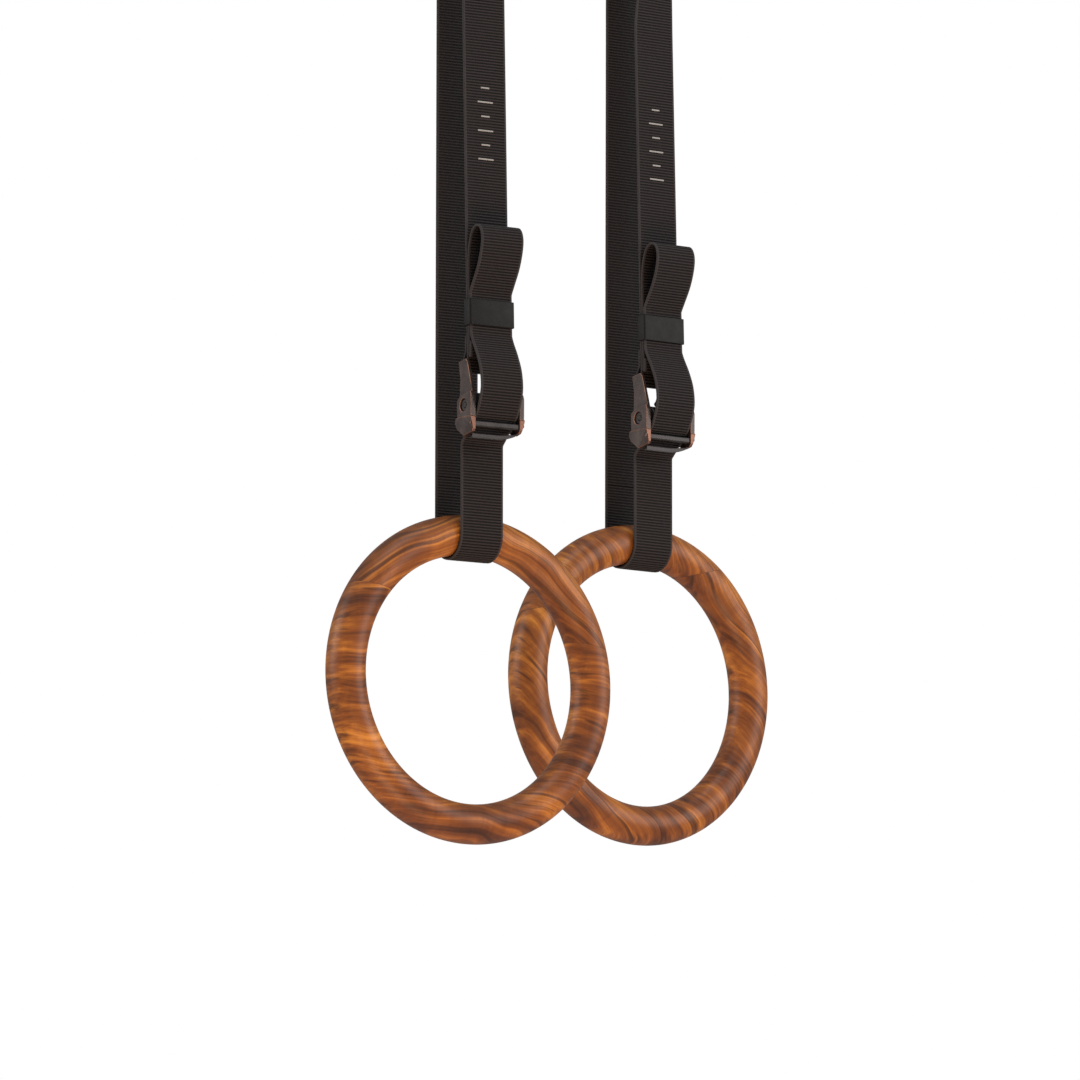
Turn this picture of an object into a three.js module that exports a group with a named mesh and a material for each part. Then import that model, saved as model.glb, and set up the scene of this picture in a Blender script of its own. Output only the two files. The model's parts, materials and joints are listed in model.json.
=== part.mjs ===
// A pair of wooden gymnastics rings on adjustable webbing straps, hung over one straight bar.
// Millimetres, +Z up. The origin is on the bar's axis, midway between the two straps, with X along the bar.
// Each set is drawn in its own frame: origin at the ring's centre, X across the webbing, -Y towards the buckle.
import * as THREE from 'three';

// ---- driving dimensions ----
const RING_HOLE = 180; // clear diameter inside the ring
const GRIP = 29; // diameter of the wooden section
const WEB_WIDTH = 36;
const WEB_THICK = 1.8;
const GAP = 0.3; // kept between pieces that touch
const BAR_DIAMETER = 28;
const BAR_TO_RING = { left: 627.5, right: 600 }; // bar axis down to each ring's centre
const TURN = { left: 30.2, right: 24.9 }; // how far each ring is turned from the bar, degrees
const STRAP_SPACING = 275.5; // between the two straps, along the bar

const SWING_LIMIT = 60; // degrees, each way, about the bar
const TILT_LIMIT = 50; // degrees, each way, about the grip in the strap
const WEDGE = 2; // spare degrees kept past both limits

const TWIST_TOP = 25; // the straps turn between these two depths under the bar's axis
const TWIST_END = 115;
const TWIST_SPLIT = 70; // depth of the cut between the upper and lower straps
const SHOULDER_END = 4; // depth where the shoulders stop
const SWAY_PIVOT = 9.5; // depth where the upper straps start

// ---- values that follow from them ----
const RING_RADIUS = (RING_HOLE + GRIP) / 2;
const HALF_THICK = WEB_THICK / 2;
const LAYER = WEB_THICK + GAP; // one layer of webbing on another
const BAR_WRAP = BAR_DIAMETER / 2 + GAP + HALF_THICK; // bar axis to the middle of the webbing
const BIGHT_Y = 17.1; // half axes of the webbing's U under the grip
const BIGHT_Z = 17.9;

// ---- buckle, keeper and tail, in the set's frame as [y, z] ----
const CAM_AXIS = [-28, 194.5];
const CAM_RADIUS = 10;
const CAM_WIDTH = 29;
const CAM_WRAP = CAM_RADIUS + GAP + HALF_THICK;
const CAM_FACETS = 40;
const FIRST_TOOTH = 22; // the facet where the teeth start
const TOOTH_DEPTH = 0.8;
const TOOTH_COUNT = 7;
const ANCHOR_AXIS = [-22, 223.5];
const ANCHOR_RADIUS = 2.5;
const ANCHOR_WRAP = ANCHOR_RADIUS + GAP + HALF_THICK;
const BUCKLE_WIDTH = 46; // over both cheeks
const CHEEK_THICK = 4.2;
const CHEEK_INNER = BUCKLE_WIDTH / 2 - CHEEK_THICK;
const CROSSBAR_AT = [-35.5, 180.4];
const GUARD_AT = [-31.9, 170.2]; // lower edge of the guard plate, over its level half
const BUSH_RADIUS = 4.6;
const PIN_RADIUS = 2.2;
const RUNNING_GAP = 0.12;
const KEEPER_Z = 262.5; // middle of the keeper
const KEEPER_HEIGHT = 19;
const KEEPER_THICK = 1;
const LOWER_STRAP_BEND = 172; // height where the lower strap turns in under the cam
const LOWER_STRAP_END = LOWER_STRAP_BEND - 5; // where the run through the cam takes over from it

const ROUND_STEP = 10; // degrees between points on a round stretch
const TWIST_STEP = 9; // millimetres between points on a stretch that may be twisted
const rad = THREE.MathUtils.degToRad;

// ---- materials ----
const metal = (color, roughness, metalness) => new THREE.MeshStandardMaterial({ color, roughness, metalness });
const webbing = new THREE.MeshStandardMaterial({ color: 0x2a2827, roughness: 0.85 });
const band = new THREE.MeshStandardMaterial({ color: 0x2f2e2d, roughness: 0.6 });
const thread = new THREE.MeshStandardMaterial({ color: 0x1c1b1b, roughness: 0.8 });
const wood = new THREE.MeshStandardMaterial({ color: 0x9a5c2c, roughness: 0.4 });
const gunmetal = metal(0x4a4140, 0.42, 0.8);
const darkMetal = metal(0x353433, 0.45, 0.8);
const steel = metal(0x8a8a8c, 0.3, 1);

// ---- shapes ----

// Points on a round stretch about centre, from one angle to another, in degrees from straight up towards -Y.
function arc(centre, radiusY, radiusZ, from, to) {
  const steps = Math.max(2, Math.ceil(Math.abs(to - from) / ROUND_STEP));
  return Array.from({ length: steps + 1 }, (_, i) => {
    const a = rad(from + ((to - from) * i) / steps);
    return [centre[0] - radiusY * Math.sin(a), centre[1] + radiusZ * Math.cos(a)];
  });
}

// Points on a smooth curve through the given ones.
function smooth(points, count) {
  const curve = new THREE.SplineCurve(points.map(([y, z]) => new THREE.Vector2(y, z)));
  return curve.getSpacedPoints(count).map((p) => [p.x, p.y]);
}

// Points on a straight stretch, close enough together to take a twist.
function straight(from, to, step) {
  const count = Math.max(1, Math.ceil(Math.hypot(to[0] - from[0], to[1] - from[1]) / step));
  return Array.from({ length: count + 1 }, (_, i) => [
    from[0] + ((to[0] - from[0]) * i) / count,
    from[1] + ((to[1] - from[1]) * i) / count,
  ]);
}

// A closed [y, z] outline, drawn out along X and centred on x.
function acrossX(outline, width, x = 0, holes = []) {
  const shape = new THREE.Shape(outline.map(([y, z]) => new THREE.Vector2(y, z)));
  for (const [centre, radius] of holes) {
    const hole = new THREE.Path();
    hole.absarc(centre[0], centre[1], radius, 0, Math.PI * 2, true);
    shape.holes.push(hole);
  }
  const geometry = new THREE.ExtrudeGeometry(shape, { depth: width, bevelEnabled: false, curveSegments: 12 });
  const axes = [new THREE.Vector3(0, 1, 0), new THREE.Vector3(0, 0, 1), new THREE.Vector3(1, 0, 0)];
  geometry.applyMatrix4(new THREE.Matrix4().makeBasis(...axes));
  return geometry.translate(x - width / 2, 0, 0);
}

// The four corners of a flat strip's section at each point of a [y, z] path.
function stripSections(path, width, thick) {
  return path.flatMap((p, i) => {
    const before = path[Math.max(0, i - 1)];
    const after = path[Math.min(path.length - 1, i + 1)];
    const along = new THREE.Vector2(after[0] - before[0], after[1] - before[1]).normalize();
    const [dy, dz] = [(-along.y * thick) / 2, (along.x * thick) / 2];
    const half = width / 2;
    return [
      [-half, p[0] + dy, p[1] + dz], [half, p[0] + dy, p[1] + dz],
      [half, p[0] - dy, p[1] - dz], [-half, p[0] - dy, p[1] - dz],
    ];
  });
}

// A closed flat strip along a [y, z] path, its width across X.
function strip(path, width = WEB_WIDTH, thick = WEB_THICK) {
  const last = 4 * (path.length - 1);
  const faces = [[0, 2, 1], [0, 3, 2], [last, last + 1, last + 2], [last, last + 2, last + 3]];
  for (let i = 0; i < last; i += 4) {
    for (let k = 0; k < 4; k += 1) {
      const [a, b] = [i + k, i + ((k + 1) % 4)];
      faces.push([a, b, b + 4], [a, b + 4, a + 4]);
    }
  }
  const geometry = new THREE.BufferGeometry();
  const corners = stripSections(path, width, thick).flat();
  geometry.setAttribute('position', new THREE.Float32BufferAttribute(corners, 3));
  return geometry.setIndex(faces.flat());
}

// A solid of revolution about a line along X through centre, from a [x, radius] profile.
function turnedX(centre, profile, segments = 24) {
  const points = profile.map(([x, radius]) => new THREE.Vector2(radius, x));
  const geometry = new THREE.LatheGeometry(points, segments).rotateZ(-Math.PI / 2);
  return geometry.translate(0, centre[0], centre[1]);
}

const pinProfile = (from, to, radius) => [[from, 0], [from, radius], [to, radius], [to, 0]];

const sleeveProfile = (from, to, inner, outer) => [
  [from, inner], [from, outer], [to, outer], [to, inner], [from, inner],
];

// Turns a set's upper webbing from the ring's direction to the bar's.
function twist(geometry, barZ, turn) {
  const position = geometry.attributes.position;
  for (let i = 0; i < position.count; i += 1) {
    const depth = barZ - position.getZ(i);
    const t = THREE.MathUtils.smoothstep(TWIST_END - depth, 0, TWIST_END - TWIST_TOP);
    const a = rad(turn) * t;
    const [x, y] = [position.getX(i), position.getY(i)];
    position.setXY(i, x * Math.cos(a) - y * Math.sin(a), x * Math.sin(a) + y * Math.cos(a));
  }
  return geometry;
}

// ---- webbing ----

// Where the front webbing's middle is at height z, between the bar and the buckle's anchor bar.
function frontLine(barZ, z) {
  const anchorY = ANCHOR_AXIS[0] - ANCHOR_WRAP;
  const t = (barZ - z) / (barZ - ANCHOR_AXIS[1]);
  return [-BAR_WRAP + (anchorY + BAR_WRAP) * t, z];
}

// Where the back webbing's middle is at height z, between the bar and the ring's grip.
function backLine(barZ, z) {
  const t = (barZ - z) / (barZ - RING_RADIUS);
  return [BAR_WRAP + (BIGHT_Y - BAR_WRAP) * t, z];
}

// The webbing over the top of the bar, as far round as leaves the shoulders room to swing.
function barStrap(barZ) {
  const half = 90 - SWING_LIMIT - WEDGE / 2;
  const facets = 7;
  const path = Array.from({ length: facets + 1 }, (_, i) => {
    const a = rad(-half + (2 * half * i) / facets);
    return [-BAR_WRAP * Math.sin(a), barZ + BAR_WRAP * Math.cos(a)];
  });
  return strip(path);
}

const shoulder = (barZ, side) => strip([[-side * BAR_WRAP, barZ], [-side * BAR_WRAP, barZ - SHOULDER_END]]);

const upperStrap = (barZ, line) =>
  strip(straight(line(barZ, barZ - SWAY_PIVOT), line(barZ, barZ - TWIST_SPLIT), TWIST_STEP));

// The fixed end: down the front, under the anchor bar and up behind itself, where it is sewn.
const SEWN_TOP = 246;
const SEWN_LENGTH = 12; // how much of the end lies flat against the strap
const SEWN_SLACK = 0.4; // how far it stands off below that
const SEWN_WRAP = 292; // degrees round the anchor bar where the end leaves it
const ANCHOR_LEAD = 14; // height over the anchor bar where the strap starts to bend round it

function fixedStrap(barZ) {
  const start = frontLine(barZ, barZ - TWIST_SPLIT - 2 * GAP);
  const untwisted = frontLine(barZ, barZ - TWIST_END);
  const down = [...straight(start, untwisted, TWIST_STEP), frontLine(barZ, ANCHOR_AXIS[1] + ANCHOR_LEAD)];
  const round = arc(ANCHOR_AXIS, ANCHOR_WRAP, ANCHOR_WRAP, 90, SEWN_WRAP);
  const joinTop = frontLine(barZ, SEWN_TOP);
  const joinLow = frontLine(barZ, SEWN_TOP - SEWN_LENGTH);
  return strip([...down, ...round, [joinLow[0] + LAYER + SEWN_SLACK, joinLow[1]], [joinTop[0] + LAYER, joinTop[1]]]);
}

function backStrap(barZ) {
  const start = backLine(barZ, barZ - TWIST_SPLIT - 2 * GAP);
  const untwisted = backLine(barZ, barZ - TWIST_END);
  return strip([...straight(start, untwisted, TWIST_STEP), [BIGHT_Y, RING_RADIUS]]);
}

const TACK_THICK = 0.5;
const TACK_HEIGHT = 8;
const TACK_MARGIN = 3.5; // from each edge of the webbing

function barTack(barZ) {
  const top = frontLine(barZ, SEWN_TOP - 1);
  const low = frontLine(barZ, SEWN_TOP - 1 - TACK_HEIGHT);
  const behind = LAYER + HALF_THICK + GAP + TACK_THICK / 2;
  const width = WEB_WIDTH - 2 * TACK_MARGIN;
  return strip([[top[0] + behind, top[1]], [low[0] + behind + GAP, low[1]]], width, TACK_THICK);
}

// The U of webbing that carries the ring.
function bight() {
  const half = 90 - TILT_LIMIT - WEDGE * 3;
  return strip(arc([0, RING_RADIUS], BIGHT_Y, BIGHT_Z, 180 - half, 180 + half));
}

// Where the lower strap's middle first touches the cam, coming from the bend below it.
function camContact() {
  const [dy, dz] = [CAM_AXIS[0] + BIGHT_Y, CAM_AXIS[1] - LOWER_STRAP_BEND];
  const distance = Math.hypot(dy, dz);
  const toCentre = Math.atan2(-dy, dz);
  const slope = toCentre + Math.asin(CAM_WRAP / distance);
  const run = Math.sqrt(distance ** 2 - CAM_WRAP ** 2);
  return [-BIGHT_Y - run * Math.sin(slope), LOWER_STRAP_BEND + run * Math.cos(slope)];
}

const lowerStrap = () => strip([[-BIGHT_Y, RING_RADIUS], [-BIGHT_Y, LOWER_STRAP_END]]);

// The free end in the buckle: under the cam and up its front.
const CAM_EXIT = 110; // degrees from straight up, where the tail leaves the cam
const TAIL_START = CAM_EXIT + 10;
const TAIL_CLEARANCE = 4; // degrees between the run through the cam and the tail
const BEND_EASE = 0.6; // rounds the turn below the cam

function camStrap() {
  const contact = camContact();
  const start = THREE.MathUtils.radToDeg(
    Math.atan2(CAM_AXIS[0] - contact[0], contact[1] - CAM_AXIS[1]),
  );
  const below = [-BIGHT_Y, LOWER_STRAP_END + 2 * GAP];
  const bend = [-BIGHT_Y - BEND_EASE, LOWER_STRAP_BEND + BEND_EASE];
  return strip([below, bend, ...arc(CAM_AXIS, CAM_WRAP, CAM_WRAP, start, TAIL_START + TAIL_CLEARANCE)]);
}

// The tail: up the front of the buckle, through the keeper, round a loop and back down through the keeper.
const BULGE_POINTS = 18;
const LOOP_POINTS = 34;
const TAIL_TIP = 243; // height of its end, under the keeper
const HEM_TOP = 242.3;
const HEM_LOW = 230;
const HEM_STEP = 0.1; // the hem's fold stands this much further forward

function tailPath(barZ) {
  const leave = arc(CAM_AXIS, CAM_WRAP, CAM_WRAP, TAIL_START, CAM_EXIT);
  const layer = (count, z) => {
    const [y] = frontLine(barZ, z);
    return [y - LAYER * count, z];
  };
  const bulge = [
    ...leave, [-42.2, 199], [-43.9, 208], [-42.2, 220], [-37.4, 231.5], [-31.8, 241.5], layer(2, 247),
  ];
  const loop = [
    layer(2, 277.5), [-32.4, 284], [-39.2, 295.5], [-43.4, 307.5], [-44.2, 316.5], [-41.4, 323],
    [-36, 324.6], [-30.6, 320.8], [-27.2, 311.5], [-25.9, 300], layer(1, 278.5),
  ];
  return [...smooth(bulge, BULGE_POINTS), ...smooth(loop, LOOP_POINTS), layer(1, TAIL_TIP)];
}

function hem(barZ) {
  const at = (z) => {
    const [y] = frontLine(barZ, z);
    return [y - LAYER - HALF_THICK - HEM_STEP, z];
  };
  return strip([at(HEM_TOP), at(HEM_LOW)], WEB_WIDTH, WEB_THICK * 2);
}

// ---- keeper ----

function keeper(barZ) {
  const lean = Math.atan2(frontLine(barZ, 0)[0] - frontLine(barZ, 100)[0], 100);
  const back = HALF_THICK + GAP;
  const front = LAYER * 2 + HALF_THICK + GAP;
  const width = WEB_WIDTH / 2 + GAP;
  const outline = (grow) => {
    const [w, f, b] = [width + grow, front + grow, back + grow];
    return [[-w, -f], [w, -f], [w, b], [-w, b]].map(([x, y]) => new THREE.Vector2(x, y));
  };
  const shape = new THREE.Shape(outline(KEEPER_THICK));
  shape.holes.push(new THREE.Path(outline(0).reverse()));
  const geometry = new THREE.ExtrudeGeometry(shape, { depth: KEEPER_HEIGHT, bevelEnabled: false });
  const middle = frontLine(barZ, KEEPER_Z);
  return geometry
    .translate(0, 0, -KEEPER_HEIGHT / 2)
    .rotateX(lean)
    .translate(0, middle[0], middle[1]);
}

// ---- buckle ----

const CHEEK_OUTLINE = [
  [-18.9, 226.8], [-28.5, 228.4], [-30.8, 226], [-37, 205], [-38.4, 200.5], [-38.4, 176.4],
  [-37.2, 174.6], [-28.2, 171.8], [-20, 177.8], [-17.6, 181.8], [-18.6, 185.6], [-19.2, 198.2],
  [-21.8, 200.8], [-21.2, 214],
];

const cheek = (side) =>
  acrossX(CHEEK_OUTLINE, CHEEK_THICK, side * (CHEEK_INNER + CHEEK_THICK / 2), [[CAM_AXIS, BUSH_RADIUS + GAP / 2]]);

const BETWEEN_CHEEKS = (CHEEK_INNER - GAP) * 2;

function bevelledBox([y, z], depth, height, bevel) {
  const [d, h] = [depth / 2, height / 2];
  const corners = [
    [-d + bevel, -h], [d - bevel, -h], [d, -h + bevel], [d, h - bevel],
    [d - bevel, h], [-d + bevel, h], [-d, h - bevel], [-d, -h + bevel],
  ];
  return corners.map(([a, b]) => [y + a, z + b]);
}

const crossbar = () => acrossX(bevelledBox(CROSSBAR_AT, 4, 4.2, 0.8), BETWEEN_CHEEKS);

const anchorBar = () =>
  turnedX(ANCHOR_AXIS, pinProfile(-BETWEEN_CHEEKS / 2, BETWEEN_CHEEKS / 2, ANCHOR_RADIUS), 16);

// The plate across the buckle's lower end: level on one side, and bowed up and tapered on the other.
function guard() {
  const half = BETWEEN_CHEEKS / 2;
  const [height, rise, topRise, thick, steps] = [3.6, 3.8, 2, 2.6, 12];
  const edge = (level, bow) =>
    Array.from({ length: steps + 1 }, (_, i) => {
      const x = -half + (2 * half * i) / steps;
      return new THREE.Vector2(x, level + bow * Math.max(0, x / half) ** 2);
    });
  const shape = new THREE.Shape([...edge(0, rise), ...edge(height, topRise).reverse()]);
  const geometry = new THREE.ExtrudeGeometry(shape, { depth: thick, bevelEnabled: false });
  return geometry.rotateX(Math.PI / 2).translate(0, GUARD_AT[0] + thick / 2, GUARD_AT[1]);
}

// The cam's drum, with teeth along its lower back where it bites the webbing against the frame.
function cam() {
  const outline = Array.from({ length: CAM_FACETS }, (_, i) => {
    const a = rad((360 * i) / CAM_FACETS);
    const toothed = i >= FIRST_TOOTH && i < FIRST_TOOTH + 2 * TOOTH_COUNT && i % 2 === 0;
    const radius = CAM_RADIUS - (toothed ? 0 : TOOTH_DEPTH / 2);
    return [CAM_AXIS[0] - radius * Math.sin(a), CAM_AXIS[1] + radius * Math.cos(a)];
  });
  return acrossX(outline, CAM_WIDTH, 0, [[CAM_AXIS, PIN_RADIUS + RUNNING_GAP]]);
}

// The thumb lever stands on the drum's front, behind the tail.
const LEVER_WIDTH = 20;
function lever() {
  const [y, z] = CAM_AXIS;
  const root = CAM_RADIUS + GAP;
  const at = (degrees, radius) => [y - radius * Math.sin(rad(degrees)), z + radius * Math.cos(rad(degrees))];
  const outline = [
    at(62, root), at(48, root), at(34, root), at(20, root), at(12, root + 1.6), at(18, root + 3),
    at(22, root + 7.6), at(27, root + 8), at(31, root + 7.4), at(36, root + 3), at(58, root + 1.4),
  ];
  return acrossX(outline, LEVER_WIDTH);
}

const BUSH_RECESS = 1.6; // how deep the bush and the pin's end lie in the cheek's outer face
const PIN_RECESS = 1;

const bush = (side) => {
  const [near, far] = [CHEEK_INNER + 0.2, CHEEK_INNER + CHEEK_THICK - BUSH_RECESS];
  const span = side > 0 ? [near, far] : [-far, -near];
  return turnedX(CAM_AXIS, sleeveProfile(...span, PIN_RADIUS + RUNNING_GAP, BUSH_RADIUS));
};

const pivotPin = () => {
  const half = CHEEK_INNER + CHEEK_THICK - PIN_RECESS;
  return turnedX(CAM_AXIS, pinProfile(-half, half, PIN_RADIUS));
};

// A torsion spring on the pin, between the drum and a cheek.
function spring() {
  const [turns, turnPoints, radius, wire] = [3, 10, 4, 0.7];
  const start = CAM_WIDTH / 2 + GAP + wire;
  const rise = (CHEEK_INNER - GAP - wire - start) / turns;
  const steps = turns * turnPoints;
  const points = Array.from({ length: steps + 1 }, (_, i) => {
    const a = (i / turnPoints) * Math.PI * 2;
    const x = start + (rise * i) / turnPoints;
    return new THREE.Vector3(x, CAM_AXIS[0] + radius * Math.cos(a), CAM_AXIS[1] + radius * Math.sin(a));
  });
  const section = Array.from({ length: 6 }, (_, i) => {
    const a = (i / 6) * Math.PI * 2;
    return new THREE.Vector2((Math.cos(a) * wire) / 2, (Math.sin(a) * wire) / 2);
  });
  const path = new THREE.CatmullRomCurve3(points);
  return new THREE.ExtrudeGeometry(new THREE.Shape(section), { steps, extrudePath: path, bevelEnabled: false });
}

// ---- ring ----

const ring = () => new THREE.TorusGeometry(RING_RADIUS, GRIP / 2, 16, 72).rotateX(Math.PI / 2);

// ---- assembly ----

function makeSet(side, x) {
  const barZ = BAR_TO_RING[side];
  const set = new THREE.Group();
  const add = (name, geometry, material) => {
    const mesh = new THREE.Mesh(twist(geometry, barZ, TURN[side]), material);
    mesh.name = `${side}_${name}`;
    set.add(mesh);
  };
  add('bar_strap', barStrap(barZ), webbing);
  add('shoulder_front', shoulder(barZ, 1), webbing);
  add('shoulder_back', shoulder(barZ, -1), webbing);
  add('upper_strap_front', upperStrap(barZ, frontLine), webbing);
  add('upper_strap_back', upperStrap(barZ, backLine), webbing);
  add('fixed_strap', fixedStrap(barZ), webbing);
  add('bar_tack', barTack(barZ), thread);
  add('back_strap', backStrap(barZ), webbing);
  add('bight', bight(), webbing);
  add('lower_strap', lowerStrap(), webbing);
  add('cam_strap', camStrap(), webbing);
  add('tail', strip(tailPath(barZ)), webbing);
  add('tail_hem', hem(barZ), webbing);
  add('keeper', keeper(barZ), band);
  add('buckle_cheek_1', cheek(-1), gunmetal);
  add('buckle_cheek_2', cheek(1), gunmetal);
  add('anchor_bar', anchorBar(), steel);
  add('crossbar', crossbar(), darkMetal);
  add('guard_plate', guard(), darkMetal);
  add('cam', cam(), darkMetal);
  add('thumb_lever', lever(), darkMetal);
  add('pivot_pin', pivotPin(), steel);
  add('pivot_bush_1', bush(-1), darkMetal);
  add('pivot_bush_2', bush(1), darkMetal);
  add('cam_spring', spring(), steel);
  add('ring', ring(), wood);
  set.position.set(x, 0, -barZ);
  set.rotation.z = -rad(TURN[side]);
  return set;
}

const rings = new THREE.Group();
rings.add(makeSet('left', -STRAP_SPACING / 2), makeSet('right', STRAP_SPACING / 2));

export default rings;
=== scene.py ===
"""A pair of wooden gymnastics rings on ribbed webbing straps with cam buckles.

Each set of ring, strap and buckle is drawn in millimetres in its own frame: origin at the ring's centre,
X across the webbing, -Y towards the buckle's front, Z up. The frame's joints say where that is in the part.
"""
import json
import math

import bmesh
import bpy
import numpy as np
from mathutils import Matrix, Vector


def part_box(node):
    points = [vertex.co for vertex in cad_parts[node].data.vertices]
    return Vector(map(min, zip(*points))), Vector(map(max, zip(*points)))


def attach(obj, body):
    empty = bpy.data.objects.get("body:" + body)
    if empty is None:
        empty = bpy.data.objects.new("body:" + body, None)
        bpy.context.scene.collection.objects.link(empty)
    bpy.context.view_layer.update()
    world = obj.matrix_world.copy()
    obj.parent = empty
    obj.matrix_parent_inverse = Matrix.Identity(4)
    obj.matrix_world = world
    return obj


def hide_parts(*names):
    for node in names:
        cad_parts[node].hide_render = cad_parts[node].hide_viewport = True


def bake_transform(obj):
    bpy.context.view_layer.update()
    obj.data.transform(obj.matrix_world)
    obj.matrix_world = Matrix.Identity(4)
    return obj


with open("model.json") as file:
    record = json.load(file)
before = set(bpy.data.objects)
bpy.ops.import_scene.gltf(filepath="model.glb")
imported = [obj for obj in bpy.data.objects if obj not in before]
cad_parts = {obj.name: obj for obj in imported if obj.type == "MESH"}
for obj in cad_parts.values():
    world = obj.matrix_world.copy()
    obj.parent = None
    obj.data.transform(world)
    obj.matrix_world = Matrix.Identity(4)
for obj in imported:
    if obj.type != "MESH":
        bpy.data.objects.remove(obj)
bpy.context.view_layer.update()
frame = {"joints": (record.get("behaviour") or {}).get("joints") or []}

JOINTS = {joint["name"]: joint for joint in frame["joints"]}
SIDES = ("left", "right")
MM = 0.001

# ---- camera ----

LENS_MM = 400
SENSOR_MM = 36
CAMERA_AT = (-7.7518, -3.9035, -1.7285)
CAMERA_HEADING = math.radians(63.2)  # from +Y towards +X
CAMERA_PITCH = math.radians(8)


def add_camera():
    data = bpy.data.cameras.new("camera")
    data.lens = LENS_MM
    data.sensor_width = SENSOR_MM
    data.clip_end = 200  # past the far side of the floor
    camera = bpy.data.objects.new("camera", data)
    camera.location = CAMERA_AT
    level = math.cos(CAMERA_PITCH)
    ahead = Vector((
        math.sin(CAMERA_HEADING) * level,
        math.cos(CAMERA_HEADING) * level,
        math.sin(CAMERA_PITCH),
    ))
    camera.rotation_mode = "QUATERNION"
    camera.rotation_quaternion = ahead.to_track_quat("-Z", "Y")
    bpy.context.scene.collection.objects.link(camera)
    bpy.context.scene.camera = camera


add_camera()

# ---- driving dimensions, in mm ----

WEB_WIDTH = 36.0
WEB_THICK = 1.8
GAP = 0.3
LAYER = WEB_THICK + GAP
HALF_THICK = WEB_THICK / 2
RIB_PITCH = 2.1
RIB_ROWS = 4
BAR_WRAP = 15.2  # bar's axis to the middle of the webbing
BIGHT_Y, BIGHT_Z = 17.1, 17.9  # half axes of the U under the grip
TWIST_TOP, TWIST_END = 25.0, 115.0  # depths under the bar between which the strap turns
SHOULDER_TOP = 5.0  # depth under the bar where the loop over it ends
CAM_RADIUS = 10.0
CAM_WIDTH = 29.0
CAM_WRAP = CAM_RADIUS + GAP + HALF_THICK  # cam's axis to the middle of the webbing
CAM_EXIT = 110  # degrees from straight up, where the tail leaves the cam
TEETH_FROM, TEETH_TO = 195, 320  # the toothed part of the drum, in the same degrees
RUNNING_GAP = 0.12  # between the pin and its bushes
ANCHOR_AT = (-22.0, 223.5)
ANCHOR_RADIUS = 2.5
ANCHOR_WRAP = ANCHOR_RADIUS + GAP + HALF_THICK
ANCHOR_LEAD = 14.0  # from the anchor bar up to where the front strap runs straight
SEWN_TOP = 246.0
SEWN_LENGTH = 12.0
SEWN_SLACK = 0.4  # how far the sewn end stands off the strap at its foot
SEWN_WRAP = 292  # degrees from straight up, where the sewn end meets the anchor bar
LOWER_STRAP_BEND = 172.0  # height where the lower strap turns in under the cam
BEND_LEAD = 3.0  # the lower strap hangs straight down to this far under its bend
BACK_STRAP_END = 150.0  # height where the piece under the ring takes over from the back strap
BULGE = (  # the tail from the cam to the keeper, as [y, z]
    (-42.2, 199), (-43.9, 208), (-42.2, 220), (-37.4, 231.5), (-31.8, 241.5),
)
LOOP = (  # the tail's loop over the keeper
    (-32.4, 284), (-39.2, 295.5), (-43.4, 307.5), (-44.2, 316.5), (-41.4, 323), (-36, 324.6),
    (-30.6, 320.8), (-27.2, 311.5), (-25.9, 300),
)
BULGE_END = 247.0  # heights where the tail's outer layer meets the keeper, leaves it and comes back
LOOP_START, LOOP_END = 277.5, 278.5
TAIL_LOW = 244.0  # height where the tail's inner layer comes out under the keeper
HEM_BEND = 231.0  # height of the tail's fold; its end comes back up in front of it
HEM_RADIUS = 0.95
HEM_TOP = 241.5
HEM_LEAD = 240.0  # height under which the tail hangs straight down to the fold
HEM_CLEARANCE = 0.05
CHEEK_INNER = 18.8
CROSSBAR_AT = (-35.5, 180.4)  # its middle
GUARD_AT = (-31.9, 170.2)  # the guard plate's lower edge, over its level half
BUSH_RADIUS = 4.6
PIN_RADIUS = 2.2
KEEPER_Z = 262.5  # its middle
KEEPER_HEIGHT = 19.0
KEEPER_THICK = 1.0
MARK_PITCH = 10.5
MARK_COUNT = 6
MARK_MIDDLE = 403.0  # height of the middle of the row of length marks


class Set:
    """Where one set of ring, strap and buckle is, read from the frame."""

    def __init__(self, side):
        self.side = side
        spin, tilt = JOINTS[f"{side}_spin"], JOINTS[f"{side}_tilt"]
        across, through = Vector(tilt["axis"]), Vector(spin["axis"])
        centre = Vector(spin["pos_m"])
        axes = Matrix((across, through, Vector((0, 0, 1)))).transposed()
        self.to_part = Matrix.Translation(centre) @ axes.to_4x4() @ Matrix.Scale(MM, 4)
        self.bar = Vector(JOINTS[f"{side}_swing"]["pos_m"])
        self.bar_z = (self.bar.z - centre.z) / MM
        self.ring_radius = (tilt["pos_m"][2] - centre.z) / MM
        self.grip = (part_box(f"{side}_ring")[1].z - centre.z) / MM - self.ring_radius
        self.turn = -math.atan2(across.y, across.x)
        cam = self.to_part.inverted() @ Vector(JOINTS[f"{side}_cam_pivot"]["pos_m"])
        self.cam = (cam.y, cam.z)

    def front(self, z, layers=0.0):
        """The front webbing's middle at height z, or that of a layer in front of it."""
        anchor_y = ANCHOR_AT[0] - ANCHOR_WRAP
        share = (self.bar_z - z) / (self.bar_z - ANCHOR_AT[1])
        return (-BAR_WRAP + (anchor_y + BAR_WRAP) * share - LAYER * layers, z)

    def twist(self, points):
        """Turns the upper webbing from the ring's direction to the bar's."""
        depth = self.bar_z - points[:, 2]
        t = np.clip((TWIST_END - depth) / (TWIST_END - TWIST_TOP), 0, 1)
        angle = self.turn * t * t * (3 - 2 * t)
        c, s = np.cos(angle), np.sin(angle)
        x, y = points[:, 0].copy(), points[:, 1].copy()
        return np.column_stack((x * c - y * s, x * s + y * c, points[:, 2]))


# ---- mesh helpers ----


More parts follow.
